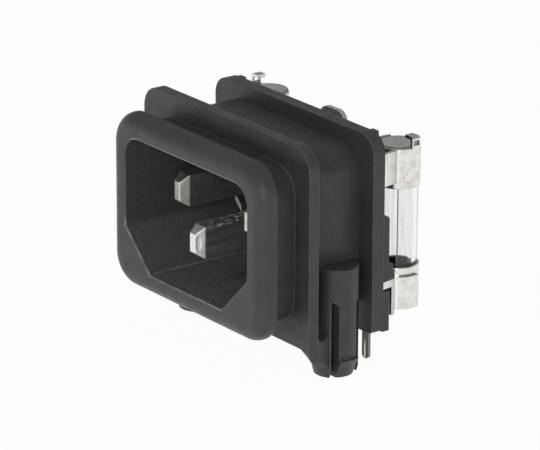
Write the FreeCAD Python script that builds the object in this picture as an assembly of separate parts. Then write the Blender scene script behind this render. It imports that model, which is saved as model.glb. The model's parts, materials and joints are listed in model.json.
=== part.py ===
import FreeCAD
import Part
import math
import os

# Frame in millimetres: origin at the centre of the inlet opening on its front rim,
# X to the right, Y back into the equipment, Z up.

# inlet opening
OPEN_W = 24.4
OPEN_H = 16.4
OPEN_CHAMFER = 5.0
OPEN_TOP_R = 2.6
OPEN_SLOPE_R = 0.6
RIM_R = 0.3
SOCKET_DEPTH = 16.4

# bezel in front of the panel
BEZEL_W = 30.5
BEZEL_H = 21.95
BEZEL_T = 2.25
BEZEL_CORNER_R = 4.0
BEZEL_FRONT_R = 1.95

# neck that fills the panel cut-out
NECK_W = 27.3
NECK_H = 19.2
NECK_CORNER_R = 3.4

# flange behind the panel
FLANGE_Y = 5.96
FLANGE_T = 1.4
FLANGE_W = 32.88
FLANGE_TOP = 12.55
FLANGE_BOTTOM = -12.1
FLANGE_CORNER_R = 2.8
FLANGE_LOW_R = 0.3

# body between flange and carrier
BODY_W = 26.2
BODY_TOP = 10.3
BODY_BOTTOM = -10.1
BODY_CORNER_R = 3.2

# snap pegs for the circuit board
PEG_X = 13.6
PEG_Y = 12.07
PEG_R = 2.75
PEG_TOP = -3.15
PEG_BOTTOM = -16.6
GUIDE_END_R = 2.55
TAPER_TOP = -15.2
TONGUE_HALF = 1.26
SLOT_W = 0.75
SLOT_TOP = -7.0
SLOT_SLANT = 0.5
TONGUE_T = 2.0
TONGUE_END = -16.65
TONGUE_END_R = 2.2
BARB_TOP = -14.3
BARB_OUT = 0.5
GUIDE_TAPER_TOP = -15.8

# web from the lower corner of the flange to the peg: depth, inner edge, outer edge
WEB_TOP = -11.8
WEB_END_Y = 9.92
WEB_SECTIONS = (
    (FLANGE_Y, (14.9, FLANGE_BOTTOM), (0.5 * FLANGE_W, -12.6)),
    (FLANGE_Y + 0.45, (15.2, -12.8), (0.5 * FLANGE_W, -13.5)),
    (FLANGE_Y + FLANGE_T, (15.2, -13.6), (0.5 * FLANGE_W, -14.0)),
    (WEB_END_Y, (14.0, -15.3), (15.35, -15.3)),
)

# carrier plate that closes the back of the body
PLATE_Y = 16.0
PLATE_T = 1.7
PLATE_W = 31.16
PLATE_TOP = 12.1
PLATE_BOTTOM = -12.4
BACK_Y = PLATE_Y + PLATE_T
PLATE_CORNER_R = 2.4
PLATE_LOW_R = 0.6
RAIL_T = 0.9
RAIL_TOP = -7.4
LUG_X = (12.4, 13.5)
LUG_Z = (10.6, 12.0)
LUG_OUT = 0.65
REST_X = (13.4, 15.4)
REST_Z = (-6.1, -4.2)
REST_OUT = 1.6
WALL_X = (14.6, 15.4)
WALL_TOP = 1.95
WALL_OUT = 0.95
WALL_R = 0.5

# contact pins
PIN_W = 2.0
PIN_H = 4.0
PIN_TIP_W = 1.0
PIN_TIP_H = 2.3
PIN_BEVEL = 1.2
LINE_X = 7.0
LINE_Z = 1.78
LINE_TIP_Y = 4.0
EARTH_Z = -2.22
EARTH_TIP_Y = 1.2
SHANK_W = 1.5
SHANK_H = 3.2
RIVET_W = 0.9
RIVET_H = 2.2
RIVET_LIP = 0.4
HEAD_T = 0.5
HEAD_BEVEL = 0.3

# fuses of 5 by 20 mm
FUSE_X = 12.75
FUSE_Y = 22.0
FUSE_TOP = 9.72
FUSE_L = 20.0
CAP_R = 2.6
CAP_L = 5.05
CAP_WALL = 0.2
CAP_BEVEL = 0.25
GLASS_R = 2.38
GLASS_BORE_R = 1.75
WIRE_R = 0.1
SOLDER_L = 0.9

# sprung clips
SHEET = 0.4
CLIP_R = 2.62
CLIP_H = 4.05
CLIP_FOOT_X = 15.5
THROAT_DEG = 43.0
THROAT_STEP_DEG = 4.0
TIP_DEG = 18.0
UPPER_CLIP_Z = FUSE_TOP - CLIP_H
LOWER_CLIP_TOP = -6.2
LOWER_CLIP_Z = LOWER_CLIP_TOP - CLIP_H
WING_BOTTOM = -7.15
WING_Y = 1.5
SPUR_W = 0.5

# ear over the end of the fuse
EAR_IN = 1.4
EAR_Y = (21.6, 22.75)
EAR_H = 1.4
EAR_ROOT = 0.6
EAR_FOLD_R = 0.35
EAR_WINDOW_Y = (21.8, 22.6)
EAR_WINDOW_Z = (0.3, 0.9)

# link from the upper clip to the line pin
LINK_HALF_H = 1.7
LINK_W = 1.8
LINK_TOP = 1.6

# studs that hold the clips
STUD_R = 0.7
STUD_HEAD_R = 1.15
STUD_HEAD_T = 0.5
STUD_BEVEL = 0.25
STUD_X = 12.4
LOWER_STUD_Z = -5.2
PAD = 0.95

# solder tails
TAIL_X = 12.2
TAIL_W = 1.15
EARTH_TAIL_W = 1.2
TAIL_END = -16.8
TAIL_R = 0.5

# earth terminal
TAB_W = 4.8
TAB_T = 0.6
TAB_Y = 22.2
TAB_TOP = 10.6
TAB_R = 1.5
FOOT_BOTTOM = -4.6
FOOT_TOP = 1.0

# small clearance between fitted parts, overlap for joining solids, length of cutting tools
MATE = 0.02
JOIN = 0.1
REACH = 4.0


def box(x0, x1, y0, y1, z0, z1):
    """Box from its six limits."""
    return Part.makeBox(x1 - x0, y1 - y0, z1 - z0, FreeCAD.Vector(x0, y0, z0))


def along(edge, axis):
    """True when a straight edge runs along the given axis index."""
    ends = [v.Point for v in edge.Vertexes]
    if len(ends) != 2:
        return False
    d = ends[1] - ends[0]
    parts = [abs(d.x), abs(d.y), abs(d.z)]
    return parts[axis] > 0.999 * d.Length


def rounded_slab(half_w, z0, z1, y0, y1, top_r, bottom_r):
    """Slab in the XZ plane with its own radius for the top and the bottom corners."""
    slab = box(-half_w, half_w, y0, y1, z0, z1)
    middle = 0.5 * (z0 + z1)
    edges = [e for e in slab.Edges if along(e, 1)]
    upper = [e for e in edges if e.CenterOfMass.z > middle]
    slab = slab.makeFillet(top_r, upper)
    edges = [e for e in slab.Edges if along(e, 1) and abs(abs(e.CenterOfMass.x) - half_w) < 1e-6]
    lower = [e for e in edges if abs(e.CenterOfMass.z - z0) < 1e-6]
    return slab.makeFillet(bottom_r, lower)


def prism_xz(points, y0, y1):
    """Polygon in the XZ plane pushed along Y."""
    verts = [FreeCAD.Vector(x, y0, z) for x, z in points]
    face = Part.Face(Part.makePolygon(verts + verts[:1]))
    return face.extrude(FreeCAD.Vector(0, y1 - y0, 0))


def prism_yz(points, x0, x1):
    """Polygon in the YZ plane pushed along X."""
    verts = [FreeCAD.Vector(x0, y, z) for y, z in points]
    face = Part.Face(Part.makePolygon(verts + verts[:1]))
    return face.extrude(FreeCAD.Vector(x1 - x0, 0, 0))


def mirror_x(shape):
    """Mirror image of a shape across the middle plane."""
    return shape.mirror(FreeCAD.Vector(0, 0, 0), FreeCAD.Vector(1, 0, 0))


def opening_profile(y0, y1):
    """Solid of the inlet opening: rounded top corners, sloped bottom corners."""
    w = 0.5 * OPEN_W
    h = 0.5 * OPEN_H
    c = OPEN_CHAMFER
    points = [(-w, h), (w, h), (w, -h + c), (w - c, -h), (-w + c, -h), (-w, -h + c)]
    solid = prism_xz(points, y0, y1)
    top = [e for e in solid.Edges if along(e, 1) and e.CenterOfMass.z > h - 1e-6]
    solid = solid.makeFillet(OPEN_TOP_R, top)
    slope = [e for e in solid.Edges if along(e, 1) and e.CenterOfMass.z < -h + c + 1e-6]
    return solid.makeFillet(OPEN_SLOPE_R, slope)


def bezel():
    """Front bezel with rounded outline and rounded front edge."""
    body = rounded_slab(0.5 * BEZEL_W, -0.5 * BEZEL_H, 0.5 * BEZEL_H, 0, BEZEL_T,
                        BEZEL_CORNER_R, BEZEL_CORNER_R)
    front = [e for e in body.Edges if abs(e.BoundBox.YMin) < 1e-6 and abs(e.BoundBox.YMax) < 1e-6]
    return body.makeFillet(BEZEL_FRONT_R, front)


def flange():
    """Flange that bears on the back of the panel."""
    return rounded_slab(0.5 * FLANGE_W, FLANGE_BOTTOM, FLANGE_TOP, FLANGE_Y, FLANGE_Y + FLANGE_T,
                        FLANGE_CORNER_R, FLANGE_LOW_R)


def neck():
    """Neck between bezel and flange."""
    return rounded_slab(0.5 * NECK_W, -0.5 * NECK_H, 0.5 * NECK_H, BEZEL_T - JOIN, FLANGE_Y + JOIN,
                        NECK_CORNER_R, NECK_CORNER_R)


def rear_body():
    """Tube of the socket between flange and carrier."""
    return rounded_slab(0.5 * BODY_W, BODY_BOTTOM, BODY_TOP, FLANGE_Y, PLATE_Y,
                        BODY_CORNER_R, BODY_CORNER_R)


def turned(points):
    """Solid turned about the axis of the right peg from (radius, height) points."""
    verts = [FreeCAD.Vector(PEG_X + r, PEG_Y, z) for r, z in points]
    face = Part.Face(Part.makePolygon(verts + verts[:1]))
    return face.revolve(FreeCAD.Vector(PEG_X, PEG_Y, 0), FreeCAD.Vector(0, 0, 1), 360)


def peg_guide():
    """Rigid lower part of the right peg, open on its outer side for the tongue."""
    solid = turned([(0, SLOT_TOP), (PEG_R, SLOT_TOP), (PEG_R, GUIDE_TAPER_TOP),
                    (GUIDE_END_R, PEG_BOTTOM), (0, PEG_BOTTOM)])
    inner = TONGUE_HALF + SLOT_W
    x0 = PEG_X + PEG_R - TONGUE_T - SLOT_W
    return solid.cut(box(x0, PEG_X + REACH, PEG_Y - inner, PEG_Y + inner,
                         PEG_BOTTOM - REACH, SLOT_TOP + REACH))


def peg_tongue():
    """Sprung tongue of the right peg with its barb."""
    barb_r = PEG_R + BARB_OUT
    solid = turned([(0, SLOT_TOP), (PEG_R, SLOT_TOP), (PEG_R, BARB_TOP), (barb_r, BARB_TOP),
                    (PEG_R, TAPER_TOP), (TONGUE_END_R, TONGUE_END), (0, TONGUE_END)])
    x0 = PEG_X + PEG_R - TONGUE_T
    return solid.common(box(x0, PEG_X + REACH, PEG_Y - TONGUE_HALF, PEG_Y + TONGUE_HALF,
                            TONGUE_END, SLOT_TOP))


def peg_head():
    """Full upper part of the right peg with slanted ends of the two slots."""
    solid = Part.makeCylinder(PEG_R, PEG_TOP - SLOT_TOP + SLOT_SLANT,
                              FreeCAD.Vector(PEG_X, PEG_Y, SLOT_TOP - SLOT_SLANT))
    inner = TONGUE_HALF + SLOT_W
    low = SLOT_TOP - SLOT_SLANT
    x0 = PEG_X + PEG_R - TONGUE_T - SLOT_W
    solid = solid.cut(box(x0, x0 + SLOT_W, PEG_Y - inner, PEG_Y + inner, low, SLOT_TOP))
    for side in (-1.0, 1.0):
        y_in = PEG_Y + side * TONGUE_HALF
        y_out = PEG_Y + side * inner
        solid = solid.cut(prism_yz([(y_in, low), (y_out, low), (y_out, SLOT_TOP)],
                                   x0, PEG_X + REACH))
    return solid


def peg():
    """Right snap peg: head, rigid guide and a barbed tongue."""
    return peg_head().fuse([peg_guide(), peg_tongue()])


def web_section(y, inner, outer):
    """Outline of the web at one depth."""
    points = [inner, outer, (outer[0], WEB_TOP), (inner[0], WEB_TOP)]
    verts = [FreeCAD.Vector(x, y, z) for x, z in points]
    return Part.makePolygon(verts + verts[:1])


def peg_web():
    """Web from the lower corner of the flange down to the right peg, flush with both."""
    outlines = [web_section(y, inner, outer) for y, inner, outer in WEB_SECTIONS]
    return Part.makeLoft(outlines, True, True)


def housing():
    """Moulded housing: bezel, neck, flange, socket tube and two snap pegs."""
    solid = bezel().fuse([neck(), flange(), rear_body()])
    right = peg().fuse(peg_web())
    solid = solid.fuse([right, mirror_x(right)])
    solid = solid.cut(opening_profile(-REACH, PLATE_Y + REACH))
    solid = solid.removeSplitter()
    rim = [e for e in solid.Edges if abs(e.BoundBox.YMax) < 1e-6 and inside_opening(e)]
    return solid.makeFillet(RIM_R, rim)


def inside_opening(edge):
    """True for an edge on the rim of the inlet opening."""
    b = edge.BoundBox
    w = 0.5 * OPEN_W + 0.01
    h = 0.5 * OPEN_H + 0.01
    return b.XMin > -w and b.XMax < w and b.ZMin > -h and b.ZMax < h


def stud_hole(x, z):
    """Round tool for the hole of a stud in a metal sheet."""
    start = FreeCAD.Vector(x, BACK_Y - REACH, z)
    return Part.makeCylinder(STUD_R, 2 * REACH, start, FreeCAD.Vector(0, 1, 0))


def stud(x, z):
    """Moulded stud with a formed head that holds a metal sheet to the carrier."""
    top = BACK_Y + SHEET + STUD_HEAD_T
    shaft = Part.makeCylinder(STUD_R, SHEET + 2 * JOIN, FreeCAD.Vector(x, BACK_Y - JOIN, z),
                              FreeCAD.Vector(0, 1, 0))
    head = Part.makeCylinder(STUD_HEAD_R, STUD_HEAD_T, FreeCAD.Vector(x, BACK_Y + SHEET, z),
                             FreeCAD.Vector(0, 1, 0))
    edge = [e for e in head.Edges if abs(e.BoundBox.YMin - top) < 1e-6]
    return shaft.fuse(head.makeChamfer(STUD_BEVEL, edge))


def side_wall():
    """Low wall that rises from the fuse rest along the right edge of the carrier."""
    wall = box(WALL_X[0], WALL_X[1], BACK_Y - JOIN, BACK_Y + WALL_OUT, REST_Z[1] - JOIN, WALL_TOP)
    corner = [e for e in wall.Edges if along(e, 0) and e.CenterOfMass.y > BACK_Y + WALL_OUT - 1e-6
              and e.CenterOfMass.z > WALL_TOP - 1e-6]
    return wall.makeFillet(WALL_R, corner)


def carrier_side():
    """Lug, fuse rest, low wall and two studs on the right side of the carrier."""
    lug = box(LUG_X[0], LUG_X[1], BACK_Y - JOIN, BACK_Y + LUG_OUT, LUG_Z[0], LUG_Z[1])
    rest = box(REST_X[0], REST_X[1], BACK_Y - JOIN, BACK_Y + REST_OUT, REST_Z[0], REST_Z[1])
    studs = [stud(FUSE_X, UPPER_CLIP_Z + 0.5 * CLIP_H), stud(STUD_X, LOWER_STUD_Z)]
    return lug.fuse([rest, side_wall()] + studs)


def tail_groove(x, width, depth):
    """Tool for the groove that a solder tail runs through."""
    return box(x - 0.5 * width, x + 0.5 * width, BACK_Y, BACK_Y + depth,
               PLATE_BOTTOM - REACH, RAIL_TOP + REACH)


def carrier():
    """Moulded plate that carries the pins, the clips and the earth terminal."""
    half = 0.5 * PLATE_W
    plate = rounded_slab(half, PLATE_BOTTOM, PLATE_TOP, PLATE_Y, BACK_Y, PLATE_CORNER_R, PLATE_LOW_R)
    rail = box(-half, half, BACK_Y - JOIN, BACK_Y + RAIL_T, PLATE_BOTTOM, RAIL_TOP)
    side = carrier_side()
    solid = plate.fuse([rail, side, mirror_x(side)])
    solid = solid.cut(opening_profile(PLATE_Y - REACH, SOCKET_DEPTH))
    for x, z in ((LINE_X, LINE_Z), (-LINE_X, LINE_Z), (0.0, EARTH_Z)):
        solid = solid.cut(pin_bar(x, z, SHANK_W, SHANK_H, PLATE_Y - REACH, BACK_Y + REACH))
    grooves = [tail_groove(TAIL_X, TAIL_W, SHEET), tail_groove(-TAIL_X, TAIL_W, SHEET),
               tail_groove(0.0, EARTH_TAIL_W, TAB_T)]
    return solid.cut(grooves).removeSplitter()


def pin_bar(x, z, width, height, y0, y1):
    """Straight length of a pin, centred on the pin's axis."""
    return box(x - 0.5 * width, x + 0.5 * width, y0, y1, z - 0.5 * height, z + 0.5 * height)


def contact_pin(x, z, tip_y, sheet):
    """Flat contact pin with a bevelled tip, a shank in the carrier and a peened tail."""
    start = tip_y + PIN_BEVEL
    tip = Part.makeWedge(x - 0.5 * PIN_TIP_W, tip_y, z - 0.5 * PIN_TIP_H, z - 0.5 * PIN_H,
                         x - 0.5 * PIN_W, x + 0.5 * PIN_TIP_W, start, z + 0.5 * PIN_TIP_H,
                         z + 0.5 * PIN_H, x + 0.5 * PIN_W)
    blade = pin_bar(x, z, PIN_W, PIN_H, start, SOCKET_DEPTH)
    shank = pin_bar(x, z, SHANK_W, SHANK_H, SOCKET_DEPTH, BACK_Y)
    rivet = pin_bar(x, z, RIVET_W, RIVET_H, BACK_Y, BACK_Y + sheet)
    end = BACK_Y + sheet + HEAD_T
    head = pin_bar(x, z, RIVET_W + 2 * RIVET_LIP, RIVET_H + 2 * RIVET_LIP, end - HEAD_T, end)
    outer = [e for e in head.Edges if abs(e.BoundBox.YMin - end) < 1e-6]
    head = head.makeChamfer(HEAD_BEVEL, outer)
    return tip.fuse([blade, shank, rivet, head]).removeSplitter()


def on_circle(radius, degrees):
    """Point on a circle round the right fuse in the XY plane."""
    a = math.radians(degrees)
    return FreeCAD.Vector(FUSE_X + radius * math.cos(a), FUSE_Y + radius * math.sin(a), 0)


def clip_arm(z0, z1):
    """Right arm of a clip: straight run, narrow throat and arc round the cap."""
    ri = CLIP_R
    ro = CLIP_R + SHEET
    throat = -THROAT_DEG
    p = [FreeCAD.Vector(CLIP_FOOT_X - SHEET, BACK_Y, 0), on_circle(ri, throat),
         on_circle(ri, TIP_DEG), on_circle(ro, TIP_DEG), on_circle(ro, throat + THROAT_STEP_DEG),
         FreeCAD.Vector(CLIP_FOOT_X, BACK_Y, 0)]
    middle = 0.5 * (TIP_DEG + throat)
    edges = [Part.makeLine(p[0], p[1]),
             Part.Arc(p[1], on_circle(ri, middle), p[2]).toShape(),
             Part.makeLine(p[2], p[3]),
             Part.Arc(p[3], on_circle(ro, middle), p[4]).toShape(),
             Part.makeLine(p[4], p[5]),
             Part.makeLine(p[5], p[0])]
    arm = Part.Face(Part.Wire(edges)).extrude(FreeCAD.Vector(0, 0, z1 - z0))
    arm.translate(FreeCAD.Vector(0, 0, z0))
    return arm


def clip_base(z0, z1):
    """Flat sheet of a clip between its two arms."""
    return box(2 * FUSE_X - CLIP_FOOT_X, CLIP_FOOT_X, BACK_Y, BACK_Y + SHEET, z0, z1)


def mirror_fuse(shape):
    """Mirror image across the plane through the right fuse."""
    return shape.mirror(FreeCAD.Vector(FUSE_X, 0, 0), FreeCAD.Vector(1, 0, 0))


def ear():
    """Ear with a window above the outer arm, folded in over the end of the fuse."""
    x1 = FUSE_X + CLIP_R + SHEET
    x0 = x1 - EAR_IN
    top = FUSE_TOP + EAR_H
    stem = box(x1 - SHEET, x1, EAR_Y[0], EAR_Y[1], FUSE_TOP - EAR_ROOT, top)
    lip = box(x0, x1, EAR_Y[0], EAR_Y[1], top - SHEET, top)
    window = box(x0, x1 + JOIN, EAR_WINDOW_Y[0], EAR_WINDOW_Y[1],
                 FUSE_TOP + EAR_WINDOW_Z[0], FUSE_TOP + EAR_WINDOW_Z[1])
    bent = stem.fuse(lip).removeSplitter()
    fold = [e for e in bent.Edges if along(e, 1) and e.CenterOfMass.x > x1 - 1e-6
            and e.CenterOfMass.z > top - 1e-6]
    return bent.makeFillet(EAR_FOLD_R, fold).cut(window)


def clip_link():
    """Strip from the upper clip down to the line pin."""
    z0 = UPPER_CLIP_Z
    low = LINE_Z - LINK_HALF_H
    high = LINE_Z + LINK_HALF_H
    x0 = LINE_X - 0.5 * RIVET_W - 2 * RIVET_LIP
    outline = [(FUSE_X - CLIP_R, z0 + LINK_TOP), (FUSE_X, z0 + LINK_TOP), (FUSE_X, z0),
               (LINE_X + LINK_W, low), (x0, low), (x0, high), (LINE_X + RIVET_LIP, high)]
    return prism_xz(outline, BACK_Y, BACK_Y + SHEET)


def upper_clip():
    """Upper right clip with its ear and its link to the line pin."""
    arm = clip_arm(UPPER_CLIP_Z, FUSE_TOP)
    solid = arm.fuse([mirror_fuse(arm), clip_base(UPPER_CLIP_Z, FUSE_TOP), clip_link(), ear()])
    rivet = pin_bar(LINE_X, LINE_Z, RIVET_W, RIVET_H, BACK_Y - REACH, BACK_Y + REACH)
    return solid.cut([rivet, stud_hole(FUSE_X, UPPER_CLIP_Z + 0.5 * CLIP_H)]).removeSplitter()


def solder_tail(x, width, thickness, top):
    """Flat tail with rounded end for the circuit board."""
    tail = box(x - 0.5 * width, x + 0.5 * width, BACK_Y, BACK_Y + thickness, TAIL_END, top)
    end = [e for e in tail.Edges if along(e, 1) and e.CenterOfMass.z < TAIL_END + 1e-6]
    return tail.makeFillet(TAIL_R, end)


def lower_arm():
    """Right arm of the lower clip: free of the base below, with a short spur."""
    step = BACK_Y + WING_Y
    arm = clip_arm(LOWER_CLIP_Z, LOWER_CLIP_TOP)
    arm = arm.cut(box(FUSE_X, FUSE_X + REACH, BACK_Y - REACH, step, LOWER_CLIP_Z - REACH, WING_BOTTOM))
    low = LOWER_CLIP_Z - SPUR_W
    spur = clip_arm(low, LOWER_CLIP_Z).common(box(FUSE_X, FUSE_X + REACH, step, step + SPUR_W,
                                                  low, LOWER_CLIP_Z))
    return arm.fuse(spur)


def lower_clip():
    """Lower right clip with its solder tail."""
    arm = lower_arm()
    pad = box(STUD_X - PAD, STUD_X + PAD, BACK_Y, BACK_Y + SHEET, WING_BOTTOM, LOWER_STUD_Z + PAD)
    solid = arm.fuse([mirror_fuse(arm), clip_base(WING_BOTTOM, LOWER_CLIP_TOP), pad,
                      solder_tail(TAIL_X, TAIL_W, SHEET, LOWER_CLIP_TOP)])
    return solid.cut(stud_hole(STUD_X, LOWER_STUD_Z)).removeSplitter()


def earth_terminal():
    """Folded earth terminal: foot on the carrier, upright tab and solder tail."""
    half = 0.5 * TAB_W
    y1 = TAB_Y + 0.5 * TAB_T
    foot = box(-half, half, BACK_Y, BACK_Y + TAB_T, FOOT_BOTTOM, FOOT_TOP)
    shelf = box(-half, half, BACK_Y, y1, FOOT_TOP - TAB_T, FOOT_TOP)
    upright = box(-half, half, y1 - TAB_T, y1, FOOT_TOP - TAB_T, TAB_TOP)
    top = [e for e in upright.Edges if along(e, 1) and e.CenterOfMass.z > TAB_TOP - 1e-6]
    upright = upright.makeFillet(TAB_R, top)
    solid = foot.fuse([shelf, upright, solder_tail(0.0, EARTH_TAIL_W, TAB_T, FOOT_BOTTOM + JOIN)])
    rivet = pin_bar(0.0, EARTH_Z, RIVET_W, RIVET_H, BACK_Y - REACH, BACK_Y + REACH)
    return solid.cut(rivet).removeSplitter()


def at_fuse(z):
    """Point on the axis of the right fuse."""
    return FreeCAD.Vector(FUSE_X, FUSE_Y, z)


def fuse_cap(end, sign):
    """End cap: thin drawn cup with a bevelled edge, closed at the given end."""
    z0 = end - CAP_L if sign > 0 else end
    cup = Part.makeCylinder(CAP_R, CAP_L, at_fuse(z0))
    rim = [e for e in cup.Edges if abs(e.BoundBox.ZMin - end) < 1e-6 and abs(e.BoundBox.ZMax - end) < 1e-6]
    cup = cup.makeChamfer(CAP_BEVEL, rim)
    start = z0 if sign > 0 else z0 + CAP_WALL
    return cup.cut(Part.makeCylinder(GLASS_R + MATE, CAP_L - CAP_WALL, at_fuse(start)))


def fuse_glass():
    """Glass tube between the two caps."""
    z0 = FUSE_TOP - FUSE_L + CAP_WALL
    length = FUSE_L - 2 * CAP_WALL
    tube = Part.makeCylinder(GLASS_R, length, at_fuse(z0))
    return tube.cut(Part.makeCylinder(GLASS_BORE_R, length, at_fuse(z0)))


def fuse_solder(end, sign):
    """Solder that holds the wire in a cap."""
    inner = end - sign * CAP_WALL
    z0 = inner - SOLDER_L if sign > 0 else inner
    return Part.makeCylinder(GLASS_BORE_R - MATE, SOLDER_L, at_fuse(z0))


def fuse_wire():
    """Fuse wire along the axis."""
    z0 = FUSE_TOP - FUSE_L + CAP_WALL + SOLDER_L
    return Part.makeCylinder(WIRE_R, FUSE_L - 2 * (CAP_WALL + SOLDER_L), at_fuse(z0))


def fuse_parts():
    """Named pieces of the right fuse."""
    bottom = FUSE_TOP - FUSE_L
    return {"glass": fuse_glass(), "cap_top": fuse_cap(FUSE_TOP, 1), "cap_bottom": fuse_cap(bottom, -1),
            "solder_top": fuse_solder(FUSE_TOP, 1), "solder_bottom": fuse_solder(bottom, -1),
            "wire": fuse_wire()}


def main():
    """Build every piece and write one file for each."""
    os.makedirs("parts", exist_ok=True)
    pieces = {"inlet_housing": housing(), "rear_carrier": carrier()}
    pieces["line_pin"] = contact_pin(LINE_X, LINE_Z, LINE_TIP_Y, SHEET)
    pieces["neutral_pin"] = contact_pin(-LINE_X, LINE_Z, LINE_TIP_Y, SHEET)
    pieces["earth_pin"] = contact_pin(0.0, EARTH_Z, EARTH_TIP_Y, TAB_T)
    pieces["earth_terminal"] = earth_terminal()
    pieces["line_upper_clip"] = upper_clip()
    pieces["neutral_upper_clip"] = mirror_x(pieces["line_upper_clip"])
    pieces["line_lower_clip"] = lower_clip()
    pieces["neutral_lower_clip"] = mirror_x(pieces["line_lower_clip"])
    for name, shape in fuse_parts().items():
        pieces["line_fuse_" + name] = shape
        pieces["neutral_fuse_" + name] = mirror_x(shape)
    for name, shape in pieces.items():
        shape.exportStep("parts/" + name + ".step")
        print(name, len(shape.Solids), shape.isValid(), round(shape.Volume, 2))


main()
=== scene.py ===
"""Look of the power entry module: finishes, fine parts, floor, light and camera.

Sizes and places are in millimetres in the shared frame: across to the right, depth from the front
of the bezel backward, and height upward. The module is the same on both sides of its middle plane.
"""

import json
import logging
import math
from dataclasses import dataclass
from enum import Enum

import bmesh
import bpy
from mathutils import Matrix, Vector

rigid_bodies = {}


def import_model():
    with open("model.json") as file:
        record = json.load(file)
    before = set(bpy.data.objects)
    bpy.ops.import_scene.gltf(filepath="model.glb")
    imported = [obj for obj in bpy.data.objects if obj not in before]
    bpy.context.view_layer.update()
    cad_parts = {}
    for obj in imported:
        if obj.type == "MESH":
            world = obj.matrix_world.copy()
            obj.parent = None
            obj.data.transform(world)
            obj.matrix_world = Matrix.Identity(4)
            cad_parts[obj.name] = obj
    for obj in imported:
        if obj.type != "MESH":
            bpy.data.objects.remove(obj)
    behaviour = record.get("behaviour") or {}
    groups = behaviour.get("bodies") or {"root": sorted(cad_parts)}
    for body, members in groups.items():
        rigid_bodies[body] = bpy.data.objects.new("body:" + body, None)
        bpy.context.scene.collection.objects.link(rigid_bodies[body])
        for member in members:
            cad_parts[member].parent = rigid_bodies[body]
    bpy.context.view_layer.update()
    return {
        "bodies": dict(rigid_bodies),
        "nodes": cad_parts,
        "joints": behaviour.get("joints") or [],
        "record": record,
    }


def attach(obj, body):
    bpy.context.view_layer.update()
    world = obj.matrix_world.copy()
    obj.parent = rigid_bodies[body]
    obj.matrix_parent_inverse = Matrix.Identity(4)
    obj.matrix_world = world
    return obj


LOG = logging.getLogger("power_entry_module")
MM = 0.001
ACROSS, DEPTH, HEIGHT = 0, 1, 2
DIAGONAL = math.sqrt(0.5)
WHITE = (1.0, 1.0, 1.0, 1.0)

Colour = tuple[float, float, float]
Span = tuple[float, float]
Point = tuple[float, float, float]
Socket = bpy.types.NodeSocket


class Side(Enum):
    """The two fused sides of the module."""

    LINE = "line"
    NEUTRAL = "neutral"


class Grain(Enum):
    """Factors that draw a noise out along an axis of the object."""

    NONE = (1.0, 1.0, 1.0)
    ALONG_PIN = (1.0, 0.06, 1.0)
    ALONG_SHEET = (1.0, 1.0, 0.08)
    ROUND_CAP = (0.25, 0.25, 1.0)
    DRAWN_SPOTS = (1.0, 1.0, 0.3)
    PIN_SPOTS = (1.0, 0.4, 1.0)


@dataclass(frozen=True)
class Patches:
    """Noise read as patches, which go from least at the low end of its range to most at the high end.

    size_mm is the size of one feature, detail the octaves of the noise, grain the way it is drawn
    out and roughness the weight of its finer octaves.
    """

    size_mm: float
    detail: float
    low: float
    high: float
    least: float = 0.0
    most: float = 1.0
    grain: Grain = Grain.NONE
    roughness: float = 0.5


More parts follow.
